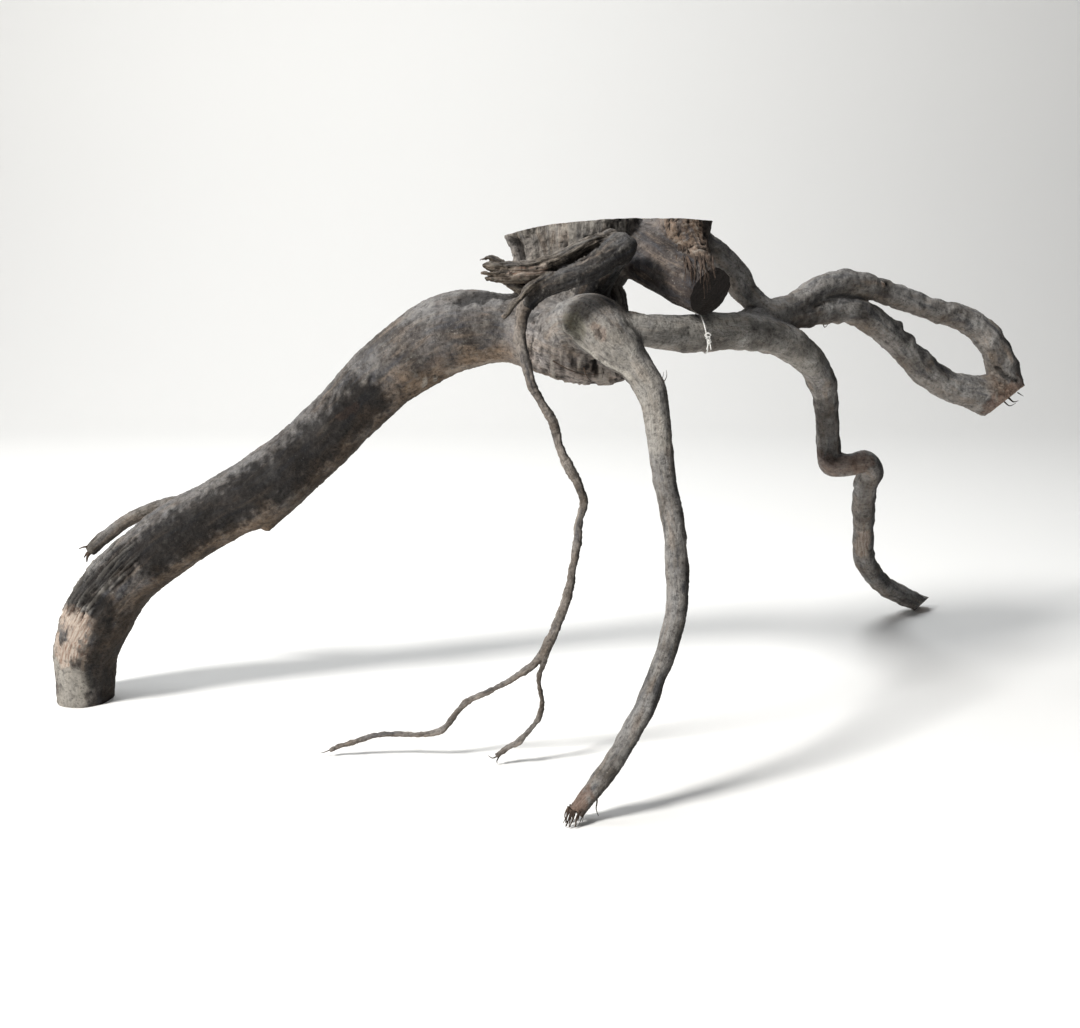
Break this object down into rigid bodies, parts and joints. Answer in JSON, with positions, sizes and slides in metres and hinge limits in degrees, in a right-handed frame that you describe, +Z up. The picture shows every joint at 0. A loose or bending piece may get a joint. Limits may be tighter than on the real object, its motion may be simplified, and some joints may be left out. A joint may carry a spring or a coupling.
{
  "type": "dry root",
  "caption": "Dry woody root standing on its own limbs, with a sawn crown, a thick arching root, slim bent roots, a looped limb and a knotted tag thread.",
  "frame": {"origin": "on the ground under the middle of the whole outline", "axes": "+Z up, +X from the thick root's foot towards the looped limb, -Y towards the slim front root"},
  "size_m": [0.8195, 0.4682, 0.3843],
  "materials": {
    "dry_root": "dry grey-brown bark, unfinished",
    "label_thread": "white twisted cotton"
  },
  "bodies": {
    "root": {"dry_root": "dry_root", "label_thread": "label_thread"}
  },
  "joints": []
}
